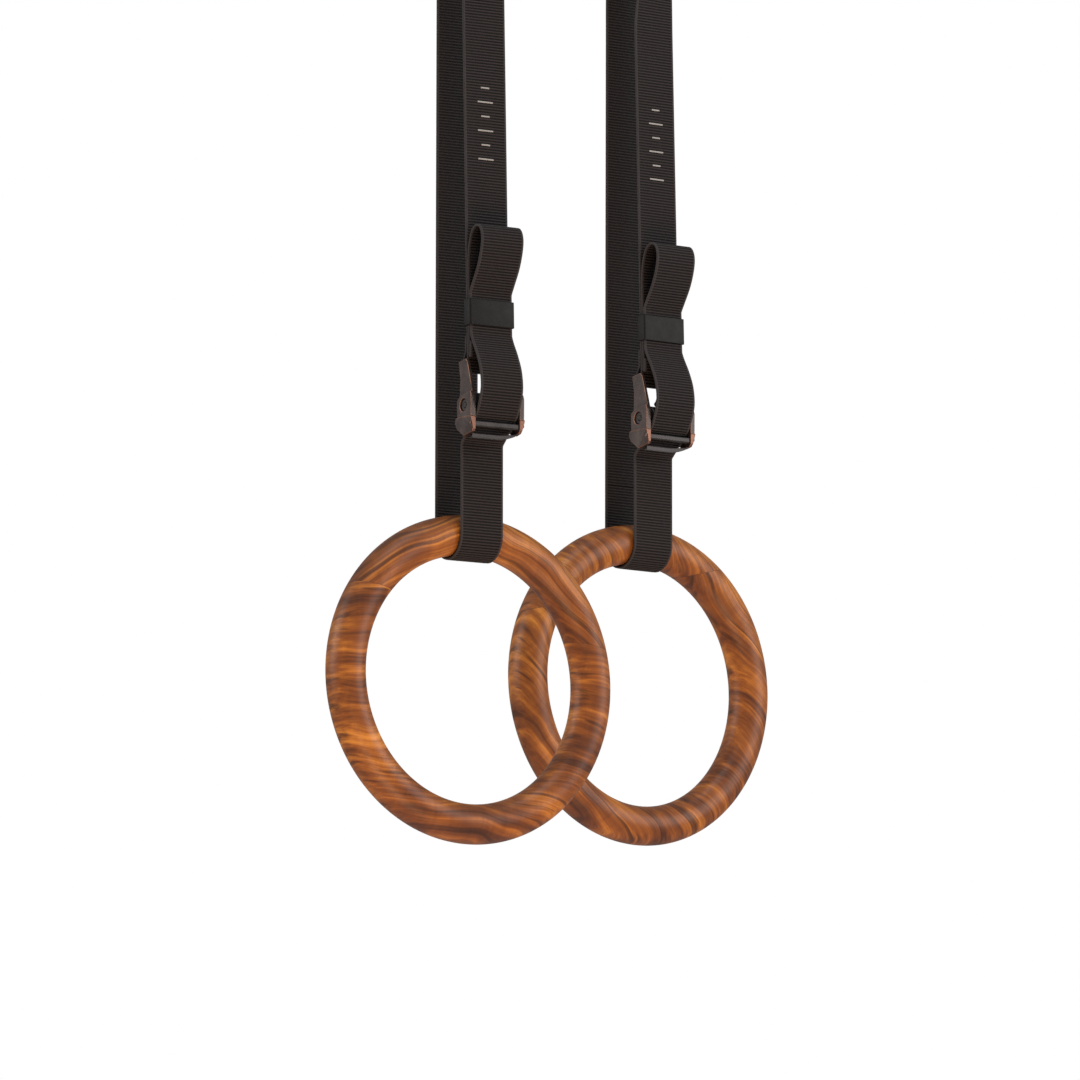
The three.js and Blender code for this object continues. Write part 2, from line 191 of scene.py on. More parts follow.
def edit_mesh(mesh, work):
    """Runs one edit on a mesh through its bmesh."""
    shell = bmesh.new()
    shell.from_mesh(mesh)
    work(shell)
    shell.to_mesh(mesh)
    shell.free()


def add_mesh(name, points, faces, the_set, materials, smooth=True, fields=None):
    """A piece from points in a set's frame, moved to the part's frame if that set is given.

    fields are vectors kept on its points, for its material to read.
    """
    mesh = bpy.data.meshes.new(name)
    mesh.from_pydata([tuple(p) for p in points], [], faces)
    for key, values in (fields or {}).items():
        attribute = mesh.attributes.new(key, "FLOAT_VECTOR", "POINT")
        attribute.data.foreach_set("vector", np.asarray(values, np.float32).ravel())
    if the_set:
        mesh.transform(the_set.to_part)
    edit_mesh(mesh, lambda shell: bmesh.ops.recalc_face_normals(shell, faces=shell.faces))
    mesh.polygons.foreach_set("use_smooth", [smooth] * len(mesh.polygons))
    for material in materials:
        mesh.materials.append(material)
    piece = bpy.data.objects.new(name, mesh)
    bpy.context.scene.collection.objects.link(piece)
    return piece


def loft(rows, closed=False):
    """Points and faces of a skin over closed sections. closed joins the last section to the first."""
    rows = np.asarray(rows, float)
    count, size = rows.shape[:2]
    faces = []
    for i in range(count if closed else count - 1):
        here, there = i * size, ((i + 1) % count) * size
        for k in range(size):
            after = (k + 1) % size
            faces.append((here + k, here + after, there + after, there + k))
    if not closed:
        faces.append(tuple(range(size)))
        faces.append(tuple(range((count - 1) * size, count * size)))
    return rows.reshape(-1, 3), faces


def round_box(width, height, radius, steps):
    """The outline of a box with round corners, as (across, up) points."""
    outline = []
    for quarter in range(4):
        middle = math.radians(45 + 90 * quarter)
        cx = math.copysign(width / 2 - radius, math.cos(middle))
        cy = math.copysign(height / 2 - radius, math.sin(middle))
        for i in range(steps + 1):
            a = math.radians(90 * quarter + 90 * i / steps)
            outline.append((cx + radius * math.cos(a), cy + radius * math.sin(a)))
    return outline


def turned(profile, centre, segments=48):
    """Sections of a solid turned about a line along X, from an [x, radius] profile that closes on itself."""
    rows = []
    for i in range(segments):
        a = 2 * math.pi * i / segments
        c, s = math.cos(a), math.sin(a)
        rows.append([(x, centre[0] + r * c, centre[1] + r * s) for x, r in profile])
    return loft(rows, closed=True)


def chamfered(x0, x1, inner, outer, cut):
    """The profile of a sleeve or pin with its outer corners cut."""
    corners = [(x0, outer - cut), (x0 + cut, outer), (x1 - cut, outer), (x1, outer - cut)]
    return [(x0, inner), *corners, (x1, inner)]


def tube_rows(line, radius, sides=10):
    """Round sections along a line of points."""
    line = np.asarray(line, float)
    along = np.gradient(line, axis=0)
    along /= np.linalg.norm(along, axis=1)[:, None]
    side = np.cross(along[0], (0.13, 0.27, 0.95))
    rows = []
    for point, ahead in zip(line, along):
        side = side - ahead * (side @ ahead)
        side /= np.linalg.norm(side)
        up = np.cross(ahead, side)
        angles = 2 * np.pi * np.arange(sides) / sides
        rows.append(point + radius * (np.outer(np.cos(angles), side) + np.outer(np.sin(angles), up)))
    return rows


def finish_edges(piece, width, edge_material=0, clamp=True):
    """Rounds a piece's sharp edges. clamp keeps each bevel from running into its neighbours."""
    bevel = piece.modifiers.new("edges", "BEVEL")
    bevel.use_clamp_overlap = clamp
    bevel.width = width * MM
    bevel.segments = 2
    bevel.limit_method = "ANGLE"
    bevel.angle_limit = math.radians(28)
    bevel.material = edge_material
    bevel.harden_normals = True
    apply_modifiers(piece)


def apply_modifiers(piece):
    """Makes what a piece's modifiers show its own mesh."""
    evaluated = piece.evaluated_get(bpy.context.evaluated_depsgraph_get())
    mesh = bpy.data.meshes.new_from_object(evaluated)
    piece.modifiers.clear()
    piece.data = mesh


# ---- the strap: one length of webbing, from its sewn end to its hem ----


def arc(centre, radius_y, radius_z, start, end, step=3):
    """Points on a round stretch, from one angle to another, in degrees from straight up towards -Y."""
    count = max(2, round(abs(end - start) / step))
    angles = np.radians(np.linspace(start, end, count + 1))
    return [(centre[0] - radius_y * math.sin(a), centre[1] + radius_z * math.cos(a)) for a in angles]


def smooth(points, count):
    """Points on a Catmull-Rom curve through the given ones."""
    p = np.asarray([points[0], *points, points[-1]], float)
    found = []
    for i in range(1, len(p) - 2):
        for t in np.linspace(0, 1, count, endpoint=False):
            a, b, c, d = p[i - 1:i + 3]
            spread = (c - a) * t + (2 * a - 5 * b + 4 * c - d) * t**2 + (3 * b - a - 3 * c + d) * t**3
            found.append(tuple(b + spread / 2))
    return [*found, tuple(p[-2])]


def cam_contact(cam):
    """Where the lower strap first touches the cam, in degrees from straight up."""
    dy, dz = cam[0] + BIGHT_Y, cam[1] - LOWER_STRAP_BEND
    distance = math.hypot(dy, dz)
    slope = math.atan2(-dy, dz) + math.asin(CAM_WRAP / distance)
    run = math.sqrt(distance**2 - CAM_WRAP**2)
    y, z = -BIGHT_Y - run * math.sin(slope), LOWER_STRAP_BEND + run * math.cos(slope)
    return math.degrees(math.atan2(cam[0] - y, z - cam[1]))


def strap_line(s):
    """The strap's middle as [y, z] points, before its twist.

    It runs from the sewn end up the front, over the bar, down the back, under the grip, round the cam and
    along the tail to its hem.
    """
    sewn_low = SEWN_TOP - SEWN_LENGTH
    sewn = [
        (s.front(SEWN_TOP)[0] + LAYER, SEWN_TOP),
        (s.front(sewn_low)[0] + LAYER + SEWN_SLACK, sewn_low),
    ]
    anchor = arc(ANCHOR_AT, ANCHOR_WRAP, ANCHOR_WRAP, SEWN_WRAP, 90)
    front = [s.front(z) for z in (ANCHOR_AT[1] + ANCHOR_LEAD, s.bar_z - TWIST_END)]
    over = arc((0, s.bar_z), BAR_WRAP, BAR_WRAP, 90, -90)
    under = arc((0, s.ring_radius), BIGHT_Y, BIGHT_Z, 270, 90)
    cam = arc(s.cam, CAM_WRAP, CAM_WRAP, cam_contact(s.cam), CAM_EXIT)
    bulge = smooth([cam[-1], *BULGE, s.front(BULGE_END, 2)], 8)
    loop = smooth([s.front(LOOP_START, 2), *LOOP, s.front(LOOP_END, 1)], 8)
    low = s.front(HEM_BEND)[0] - LAYER - HEM_CLEARANCE
    fold = arc((low - HEM_RADIUS, HEM_BEND), HEM_RADIUS, HEM_RADIUS, 270, 90, 15)
    hem = [(low, HEM_LEAD), *fold, (low - HEM_RADIUS * 2, HEM_TOP)]
    return np.array([
        *sewn, *anchor, *front, *over, *under, (-BIGHT_Y, LOWER_STRAP_BEND - BEND_LEAD), *cam[:-1],
        *bulge, *loop, s.front(TAIL_LOW, 1), *hem,
    ])


class Strap:
    """The strap's middle line by its length, cut into pieces at whole ribs."""

    STEP = RIB_PITCH / RIB_ROWS

    def __init__(self, s):
        self.set = s
        line = strap_line(s)
        run = np.append(0, np.cumsum(np.linalg.norm(np.diff(line, axis=0), axis=1)))
        keep = np.append(True, np.diff(run) > 1e-6)
        line, run = line[keep], run[keep]
        ribs = int(run[-1] // RIB_PITCH)
        self.at = np.arange(ribs * RIB_ROWS + 1) * self.STEP
        y, z = np.interp(self.at, run, line[:, 0]), np.interp(self.at, run, line[:, 1])
        weights = np.array([1, 4, 6, 4, 1]) / 16
        for _ in range(2):
            y[2:-2], z[2:-2] = np.convolve(y, weights, "valid"), np.convolve(z, weights, "valid")
        self.line = np.column_stack((y, z))
        along = np.gradient(self.line, axis=0)
        along /= np.linalg.norm(along, axis=1)[:, None]
        self.normal = np.column_stack((-along[:, 1], along[:, 0]))

    def row_at(self, z, after=0):
        """The first rib's edge past height z, at or after a row."""
        heights = self.line[after:, 1] - z
        crossing = after + int(np.argmax(np.sign(heights) != np.sign(heights[0])))
        return round(crossing / RIB_ROWS) * RIB_ROWS

    def piece(self, name, first, last, material):
        """The webbing between two rows, ribbed on both faces, with smooth selvedges."""
        half = WEB_WIDTH / 2
        face = [  # place across the width, height over the middle, share of the ribs' relief
            (-half + 0.14, 0.5, 0), (-half + 0.5, 0.78, 0), (-half + 1.2, 0.84, 0), (-half + 1.7, 0.78, 0.2),
            (-half + 2.2, 0.84, 1), (-half / 2, 0.84, 1), (0, 0.84, 1), (half / 2, 0.84, 1),
            (half - 2.2, 0.84, 1), (half - 1.7, 0.78, 0.2), (half - 1.2, 0.84, 0), (half - 0.5, 0.78, 0),
            (half - 0.14, 0.5, 0),
        ]
        section = [(-half, 0, 0, 0), *[(x, h, r, 1) for x, h, r in face], (half, 0, 0, 0)]
        section += [(x, -h, -r, -1) for x, h, r in reversed(face)]
        x, height, relief, side = np.array(section, float).T
        grooves = np.array([-0.6, -0.1, 0.06, -0.1])  # one rib's relief, row by row
        rows = np.arange(first, last + 1)
        lift = height + np.outer(grooves[rows % RIB_ROWS], relief)
        points = np.empty((len(rows), len(x), 3))
        points[:, :, 0] = x
        for axis in (0, 1):
            points[:, :, axis + 1] = self.line[rows, axis, None] + self.normal[rows, axis, None] * lift
        weave = np.empty_like(points)
        weave[:, :, 0], weave[:, :, 1], weave[:, :, 2] = x, self.at[rows, None], side
        flat, faces = loft(points)
        flat = self.set.twist(flat)
        fields = {"weave": weave.reshape(-1, 3)}
        return add_mesh(f"{self.set.side}_{name}", flat, faces, self.set, [material], fields=fields)


def stitch_rows(lines, radius=0.28, length=2.3, gap=0.5):
    """Short rounded threads laid end to end along straight lines."""
    shares = (0, 0.12, 0.35, 0.65, 0.88, 1)
    widths = (0.35, 0.85, 1, 1, 0.85, 0.35)
    parts, faces, count = [], [], 0
    for start, end in lines:
        start, end = np.array(start, float), np.array(end, float)
        run = np.linalg.norm(end - start)
        number = max(1, int(run / (length + gap)))
        for i in range(number):
            a = start + (end - start) * (i + 0.08) / number
            b = start + (end - start) * (i + 0.86) / number
            rows = [ring_section(a + (b - a) * t, b - a, radius * w) for t, w in zip(shares, widths)]
            points, quads = loft(rows)
            parts.append(points)
            faces += [tuple(k + count for k in quad) for quad in quads]
            count += len(points)
    return np.vstack(parts), faces


def ring_section(point, ahead, radius, sides=6):
    """A round section square to a direction."""
    ahead = ahead / np.linalg.norm(ahead)
    side = np.cross(ahead, (0, 1, 0))
    side /= np.linalg.norm(side)
    up = np.cross(ahead, side)
    angles = 2 * np.pi * np.arange(sides) / sides
    return point + radius * (np.outer(np.cos(angles), side) + np.outer(np.sin(angles), up))


# ---- materials ----


def as_colour(value):
    """A socket as it is, or a constant colour with its alpha."""
    return value if isinstance(value, bpy.types.NodeSocket) else (*value, 1)


class Nodes:
    """A short way to lay out a material's nodes."""

    def __init__(self, name):
        self.material = bpy.data.materials.new(name)
        self.material.use_nodes = True
        self.tree = self.material.node_tree
        self.shader = self.tree.nodes["Principled BSDF"]

    def add(self, kind, inputs=None, **settings):
        node = self.tree.nodes.new(kind)
        for key, value in settings.items():
            setattr(node, key, value)
        for key, value in (inputs or {}).items():
            self.set(node.inputs[key], value)
        return node

    def set(self, socket, value):
        if isinstance(value, bpy.types.NodeSocket):
            self.tree.links.new(value, socket)
        else:
            socket.default_value = value

    def field(self, name):
        return self.add("ShaderNodeAttribute", attribute_name=name).outputs["Vector"]

    def split(self, vector):
        return self.add("ShaderNodeSeparateXYZ", {"Vector": vector}).outputs

    def join(self, x=0.0, y=0.0, z=0.0):
        return self.add("ShaderNodeCombineXYZ", {"X": x, "Y": y, "Z": z}).outputs[0]

    def math(self, operation, *values):
        node = self.add("ShaderNodeMath", operation=operation)
        for socket, value in zip(node.inputs, values):
            self.set(socket, value)
        return node.outputs[0]

    def vector(self, operation, *values):
        node = self.add("ShaderNodeVectorMath", operation=operation)
        for socket, value in zip(node.inputs, values):
            self.set(socket, value)
        return node.outputs[0]

    def scaled(self, vector, factors):
        return self.vector("MULTIPLY", vector, factors)

    def noise(self, vector, scale=1.0, detail=3.0, roughness=0.55, distortion=0.0):
        inputs = {"Vector": vector, "Scale": scale, "Detail": detail}
        inputs |= {"Roughness": roughness, "Distortion": distortion}
        return self.add("ShaderNodeTexNoise", inputs).outputs

    def map(self, value, low, high, to_low=0.0, to_high=1.0):
        inputs = {"Value": value, "From Min": low, "From Max": high, "To Min": to_low, "To Max": to_high}
        return self.add("ShaderNodeMapRange", inputs).outputs[0]

    def ramp(self, value, stops):
        node = self.add("ShaderNodeValToRGB", {"Fac": value})
        elements = node.color_ramp.elements
        while len(elements) < len(stops):
            elements.new(0.5)
        for element, (place, colour) in zip(elements, stops):
            element.position = place
            element.color = (*colour, 1)
        return node.outputs["Color"]

    def mix(self, share, a, b):
        node = self.add("ShaderNodeMix", data_type="RGBA")
        self.set(node.inputs["Factor"], share)
        self.set(node.inputs["A"], as_colour(a))
        self.set(node.inputs["B"], as_colour(b))
        return node.outputs["Result"]

    def bump(self, height, distance_mm):
        inputs = {"Height": height, "Distance": distance_mm * MM, "Strength": 1.0}
        node = self.add("ShaderNodeBump", inputs)
        self.set(self.shader.inputs["Normal"], node.outputs[0])

    def finish(self, colour, roughness, **constants):
        self.set(self.shader.inputs["Base Color"], as_colour(colour))
        self.set(self.shader.inputs["Roughness"], roughness)
        for key, value in constants.items():
            self.shader.inputs[key.replace("_", " ")].default_value = value
        return self.material


def webbing_material(name, mark_from=None):
    """Black ribbed polyester: yarns over each rib, painted shade making the grooves near black and the
    crests lighter, and plain selvedges.

    mark_from is where the printed length marks start, in mm along the strap.
    """
    n = Nodes(name)
    weave = n.field("weave")
    x, along, face = n.split(weave)
    phase = n.math("FRACT", n.math("DIVIDE", along, RIB_PITCH))
    crest = n.math("SINE", n.math("MULTIPLY", phase, math.pi))
    across = n.math("ABSOLUTE", x)
    selvedge = n.map(across, WEB_WIDTH / 2 - 2.0, WEB_WIDTH / 2 - 1.5)
    row = n.math("FLOOR", n.math("DIVIDE", along, RIB_PITCH))
    shift = n.math("MULTIPLY", n.math("MODULO", row, 2), math.pi)
    yarn = n.math("SINE", n.math("ADD", n.math("MULTIPLY", x, 2 * math.pi / 0.62), shift))
    yarn = n.map(yarn, -1, 1)
    edge_yarn = n.map(n.math("SINE", n.math("MULTIPLY", along, 2 * math.pi / 0.7)), -1, 1)
    uneven = n.noise(n.scaled(weave, (0.35, 1.1, 1)), detail=4)["Fac"]
    wide = n.noise(n.scaled(weave, (0.05, 0.03, 1)), detail=2)["Fac"]
    lift = n.math("MULTIPLY", n.map(crest, 0.42, 0.92), n.map(yarn, 0, 1, 0.86, 1))
    # Painted shade and light: the grooves are coloured near black and the crests lighter, more than the
    # ribs' relief shades them.
    rib = n.mix(lift, (0.0010, 0.0009, 0.0012), (0.041, 0.034, 0.036))
    # Partly uneven yarn tone, partly a painted warm reflection on the crests.
    rib = n.mix(n.math("MULTIPLY", lift, n.map(uneven, 0.3, 0.7, 0, 0.3)), rib, (0.056, 0.045, 0.046))
    plain = n.mix(edge_yarn, (0.036, 0.033, 0.035), (0.064, 0.058, 0.06))
    colour = n.mix(selvedge, rib, plain)
    colour = n.mix(n.map(wide, 0.35, 0.7, 0, 0.2), colour, (0.026, 0.019, 0.017))
    if mark_from:
        place = n.math("DIVIDE", n.math("SUBTRACT", along, mark_from), MARK_PITCH)
        started = n.math("GREATER_THAN", place, 0)
        inside = n.math("MULTIPLY", started, n.math("LESS_THAN", place, MARK_COUNT))
        off_middle = n.math("ABSOLUTE", n.math("SUBTRACT", n.math("FRACT", place), 0.5))
        line = n.math("LESS_THAN", off_middle, 0.055)
        odd = n.math("MODULO", n.math("FLOOR", place), 2)
        short = n.math("LESS_THAN", across, n.map(odd, 0, 1, 6.5, 3.6))
        outer = n.math("GREATER_THAN", face, 0.5)
        ink = n.math("MULTIPLY", n.math("MULTIPLY", inside, line), n.math("MULTIPLY", short, outer))
        ink = n.math("MULTIPLY", ink, n.map(uneven, 0.2, 0.6, 0.75, 1))
        colour = n.mix(ink, colour, (0.48, 0.47, 0.45))
    height = n.math("ADD", n.math("MULTIPLY", lift, 0.85), n.math("MULTIPLY", uneven, 0.15))
    n.bump(height, 0.22)
    rough = n.map(uneven, 0.3, 0.7, 0.55, 0.8)
    return n.finish(colour, rough, Specular_IOR_Level=0.2, Sheen_Weight=0.03, Sheen_Roughness=0.4)


def thread_material():
    """Black sewing thread with a fine ply."""
    n = Nodes("thread")
    at = n.add("ShaderNodeTexCoord").outputs["Object"]
    ply = n.noise(n.scaled(at, (2200, 2200, 600)), detail=2)["Fac"]
    n.bump(ply, 0.12)
    colour = n.mix(n.map(ply, 0.35, 0.65), (0.012, 0.012, 0.012), (0.05, 0.047, 0.045))
    return n.finish(colour, 0.6, Sheen_Weight=0.2)


def band_material():
    """The keeper's smooth satin rubber, with a very fine leathery grain."""
    n = Nodes("keeper_band")
    at = n.add("ShaderNodeTexCoord").outputs["Object"]
    cells = n.add("ShaderNodeTexVoronoi", {"Vector": at, "Scale": 2600.0}, feature="F1")
    broad = n.noise(at, 120, 3)["Fac"]
    grain = n.math("MULTIPLY", cells.outputs["Distance"], 0.5)
    n.bump(n.math("ADD", grain, broad), 0.035)
    colour = n.mix(n.map(broad, 0.3, 0.7), (0.003, 0.0027, 0.0027), (0.005, 0.0045, 0.0045))
    return n.finish(colour, n.map(broad, 0.3, 0.7, 0.5, 0.6), Specular_IOR_Level=0.3)


def cast_metal(name, dark, light, roughness):
    """Satin coated casting: a fine orange-peel grain, cloudy colour and a few rubbed spots."""
    n = Nodes(name)
    at = n.add("ShaderNodeTexCoord").outputs["Object"]
    grain = n.noise(at, 900.0, 4, 0.6)["Fac"]
    cloud = n.noise(at, 90, 3, 0.6, 0.4)["Fac"]
    rubbed = n.map(n.noise(n.scaled(at, (1, 1, 2.4)), 260, 5, 0.7)["Fac"], 0.6, 0.74)
    colour = n.mix(n.map(cloud, 0.3, 0.7), dark, light)
    colour = n.mix(n.math("MULTIPLY", rubbed, 0.35), colour, tuple(min(1, c * 1.9) for c in light))
    n.bump(grain, 0.03)
    rough = n.map(cloud, 0.3, 0.7, roughness - 0.06, roughness + 0.06)
    rough = n.math("ADD", rough, n.math("MULTIPLY", grain, 0.06))
    return n.finish(colour, rough, Metallic=0.75)


def turned_steel(name, dark, light, roughness):
    """Steel with fine lathe lines round it."""
    n = Nodes(name)
    at = n.add("ShaderNodeTexCoord").outputs["Object"]
    lines = n.noise(n.scaled(at, (5200, 500, 500)), detail=2)["Fac"]
    stain = n.noise(at, 240, 4)["Fac"]
    n.bump(lines, 0.02)
    rough = n.map(lines, 0.3, 0.7, roughness - 0.07, roughness + 0.1)
    return n.finish(n.mix(n.map(stain, 0.35, 0.65), dark, light), rough, Metallic=1.0)


def wood_material(name, lower, upper, joint, seed):
    """Oiled figured hardwood, glued from a lower and an upper board, with broad lighter patches of painted
    sheen.

    Each board's grain is given as degrees from level and an arch per mm. joint is the glue line's height at
    the ring's middle and its slope.
    """
    n = Nodes(name)
    spot = n.field("spot")
    x, _, z = n.split(spot)
    warp = n.noise(n.scaled(spot, (0.011, 0.011, 0.011)), 1, 2, 0.5)["Color"]
    line = n.math("ADD", n.math("MULTIPLY", x, joint[1]), joint[0])
    above = n.math("SUBTRACT", z, line)
    over_joint = n.math("GREATER_THAN", above, 0)
    boards = []
    for (grain, arch), shift in ((lower, (seed, 3.7, 1.9)), (upper, (seed + 41, 23.0, -11.0))):
        arched = n.math("MULTIPLY", n.math("MULTIPLY", x, x), arch)
        bent = n.vector("ADD", spot, n.join(0.0, 0.0, arched))
        inputs = {"Vector": bent, "Angle": math.radians(grain)}
        turn = n.add("ShaderNodeVectorRotate", inputs, rotation_type="Y_AXIS")
        boards.append(n.vector("ADD", turn.outputs[0], shift))
    chosen = n.add("ShaderNodeMix", {"Factor": over_joint}, data_type="VECTOR")
    n.set(chosen.inputs[4], boards[0])  # the vector sockets A and B
    n.set(chosen.inputs[5], boards[1])
    wander = n.vector("MULTIPLY", n.vector("SUBTRACT", warp, (0.5, 0.5, 0.5)), (10, 10, 34))
    board = n.vector("ADD", chosen.outputs[1], wander)
    u, w, v = n.split(board)

    def stretched(along, across, offset, detail, roughness):
        """Noise drawn out along the grain; the values are its frequencies per mm."""
        place = n.join(
            n.math("ADD", n.math("MULTIPLY", u, along), offset), n.math("MULTIPLY", v, across),
            n.math("MULTIPLY", w, across * 0.22),
        )
        return n.noise(place, 1, detail, roughness)["Fac"]

    broad = stretched(0.004, 0.04, 3.1, 2, 0.5)
    bands = stretched(0.003, 0.13, 0.0, 2, 0.5)
    streaks = stretched(0.004, 0.42, 9.4, 3, 0.6)
    fibres = stretched(0.02, 2.0, 5.5, 3, 0.6)
    curl = n.noise(n.scaled(board, (0.17, 0.05, 0.028)), 1, 3, 0.55, 0.5)["Fac"]
    # Painted sheen: broad lighter orange patches stand in for the wood's chatoyant shimmer.
    painted_sheen = n.noise(n.scaled(spot, (0.022, 0.03, 0.022)), 1, 2, 0.5)["Fac"]
    tone = n.math("MULTIPLY", broad, 0.34)
    for layer, share in ((bands, 0.56), (streaks, 0.34), (fibres, 0.10), (curl, 0.10), (painted_sheen, 0.34)):
        tone = n.math("ADD", tone, n.math("MULTIPLY", layer, share))
    colour = n.ramp(n.map(tone, 0.62, 1.1), [
        (0.0, (0.042, 0.015, 0.009)), (0.22, (0.092, 0.029, 0.012)), (0.44, (0.195, 0.059, 0.015)),
        (0.64, (0.330, 0.104, 0.020)), (0.82, (0.540, 0.190, 0.030)), (1.0, (0.780, 0.310, 0.055)),
    ])
    dark_line = n.map(stretched(0.003, 0.2, 31.0, 2, 0.5), 0.34, 0.42, 1, 0)
    colour = n.mix(n.math("MULTIPLY", dark_line, 0.6), colour, (0.040, 0.015, 0.008))
    inputs = {"Vector": n.scaled(board, (0.2, 1.7, 1.7)), "Scale": 1.0, "Randomness": 1.0}
    dashes = n.add("ShaderNodeTexVoronoi", inputs, feature="F1").outputs["Distance"]
    thick_here = n.map(n.noise(n.scaled(board, (0.03, 0.06, 0.06)), 1, 2)["Fac"], 0.42, 0.6)
    pores = n.math("MULTIPLY", n.map(dashes, 0.1, 0.2, 1, 0), thick_here)
    colour = n.mix(n.math("MULTIPLY", pores, 0.35), colour, (0.035, 0.013, 0.007))
    glue = n.map(n.math("ABSOLUTE", above), 0.05, 0.3, 1, 0)
    colour = n.mix(n.math("MULTIPLY", glue, 0.6), colour, (0.05, 0.02, 0.011))
    height = n.math("SUBTRACT", n.math("MULTIPLY", fibres, 0.35), n.math("ADD", pores, glue))
    n.bump(height, 0.07)
    rough = n.math("ADD", n.map(tone, 0.62, 1.1, 0.5, 0.4), n.math("MULTIPLY", pores, 0.2))
    return n.finish(colour, rough, Coat_Weight=0.1, Coat_Roughness=0.3, Specular_IOR_Level=0.35)


WEBBING = webbing_material("webbing")
THREAD = thread_material()
BAND = band_material()
GUNMETAL = cast_metal("gunmetal", (0.064, 0.052, 0.050), (0.110, 0.087, 0.081), 0.4)
# Worn copper along the bevels, which also serves as painted highlight on the edges.
WORN_COPPER_AND_HIGHLIGHT = cast_metal("worn_copper_edge_and_highlight", (0.20, 0.110, 0.083), (0.34, 0.180, 0.130), 0.36)
# Copper-coloured front faces of the cheek's foot.
COPPER_COLOURED_FACE = cast_metal("copper_coloured_face", (0.18, 0.085, 0.058), (0.28, 0.135, 0.09), 0.38)
DARK_METAL = cast_metal("dark_metal", (0.044, 0.041, 0.042), (0.076, 0.070, 0.070), 0.42)
STEEL = turned_steel("turned_steel", (0.3, 0.3, 0.31), (0.45, 0.45, 0.46), 0.3)
DULL_STEEL = turned_steel("dull_steel", (0.045, 0.044, 0.043), (0.09, 0.088, 0.086), 0.5)
WOODS = {
    "left": wood_material("wood_left", (-6, 0.0006), (-2, 0.005), (47, -0.17), 12.0),
    "right": wood_material("wood_right", (-46, 0.0), (-56, 0.001), (74, 0.25), 77.0),
}

# ---- ring ----


def add_ring(s):
    """A turned round-section ring."""
    around, about = 288, 72
    rows = []
    for i in range(around):
        a = 2 * math.pi * i / around
        out = np.array((math.sin(a), 0, math.cos(a)))
        b = 2 * np.pi * np.arange(about) / about
        section = np.outer(np.cos(b), out) + np.outer(np.sin(b), (0, 1, 0))
        rows.append(out * s.ring_radius + s.grip * section)
    points, faces = loft(rows, closed=True)
    ring = add_mesh(f"{s.side}_wooden_ring", points, faces, s, [WOODS[s.side]], fields={"spot": points})
    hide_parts(f"{s.side}_ring")
    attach(ring, f"{s.side}_ring")


# ---- strap pieces ----


def add_strap(s):
    """The strap's pieces, each cut between two rows of its ribs."""
    strap = Strap(s)
    side = s.side
    after_anchor = strap.row_at(ANCHOR_AT[1] - 2)  # a row low on the bend round the anchor bar
    front_low = strap.row_at(s.bar_z - TWIST_TOP, after_anchor)
    front_top = strap.row_at(s.bar_z - SHOULDER_TOP, front_low)
    going_up = strap.row_at(s.bar_z + BAR_WRAP / 2, front_top)
    past_it = going_up + RIB_ROWS * 4  # a few ribs on, so the next row found is on the way down
    going_down = strap.row_at(s.bar_z + BAR_WRAP / 2, past_it)
    back_top = strap.row_at(s.bar_z - SHOULDER_TOP, going_down)
    back_low = strap.row_at(s.bar_z - TWIST_TOP, back_top)
    back_end = strap.row_at(BACK_STRAP_END, back_low)
    mark_row = strap.row_at(MARK_MIDDLE - MARK_PITCH * MARK_COUNT / 2, after_anchor)
    marked = webbing_material(f"webbing_marked_{side}", float(strap.at[mark_row]))
    last_row = len(strap.at) - 1

    def at(z):
        """The point at height z on the line the strap hangs down."""
        return (s.bar.x, s.bar.y, z)

    over = strap.piece("strap_over_bar", front_top, back_top, WEBBING)
    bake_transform(over)
    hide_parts(f"{side}_bar_strap", f"{side}_shoulder_front", f"{side}_shoulder_back")
    for face, first, last in (("front", front_low, front_top), ("back", back_top, back_low)):
        neck = strap.piece(f"strap_{face}_neck", first, last, WEBBING)
        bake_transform(neck)
        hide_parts(f"{side}_upper_strap_{face}")
    front = strap.piece("strap_front", 0, front_low, marked)
    back = strap.piece("strap_back", back_low, back_end, WEBBING)
    for run, node in ((front, "fixed_strap"), (back, "back_strap")):
        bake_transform(run)
        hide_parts(f"{side}_{node}")
    lower = strap.piece("strap_under_ring_and_tail", back_end, last_row, WEBBING)
    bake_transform(lower)
    nodes = ("bight", "lower_strap", "cam_strap", "tail", "tail_hem")
    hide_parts(*[f"{side}_{node}" for node in nodes])
    add_stitches(s)


def add_stitches(s):
    """A boxed cross of thread closes the sewn end, and two rows hold the hem."""
    half, low, high = 14.0, SEWN_TOP - 10.5, SEWN_TOP - 1.5
    proud = 0.05  # of the threads' middles over the webbing
    y_low, y_high = (s.front(z)[0] + LAYER + HALF_THICK + proud for z in (low, high))
    corners = [(-half, y_low, low), (half, y_low, low), (half, y_high, high), (-half, y_high, high)]
    box = [(corners[i], corners[(i + 1) % 4]) for i in range(4)]
    points, faces = stitch_rows([*box, (corners[0], corners[2]), (corners[1], corners[3])])
    tack = add_mesh(f"{s.side}_box_stitch", points, faces, s, [THREAD])
    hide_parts(f"{s.side}_bar_tack")
    hem_half, hem_rows = 16, (234, 238.5)
    over_hem = LAYER + HEM_CLEARANCE + HEM_RADIUS * 2 + HALF_THICK
    front = [(s.front(z)[0] - over_hem, z) for z in hem_rows]
    points, faces = stitch_rows([((-hem_half, y, z), (hem_half, y, z)) for y, z in front])
    hem = add_mesh(f"{s.side}_hem_stitch", points, faces, s, [THREAD])
    for piece in (tack, hem):
        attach(piece, f"{s.side}_straps")


# ---- keeper ----


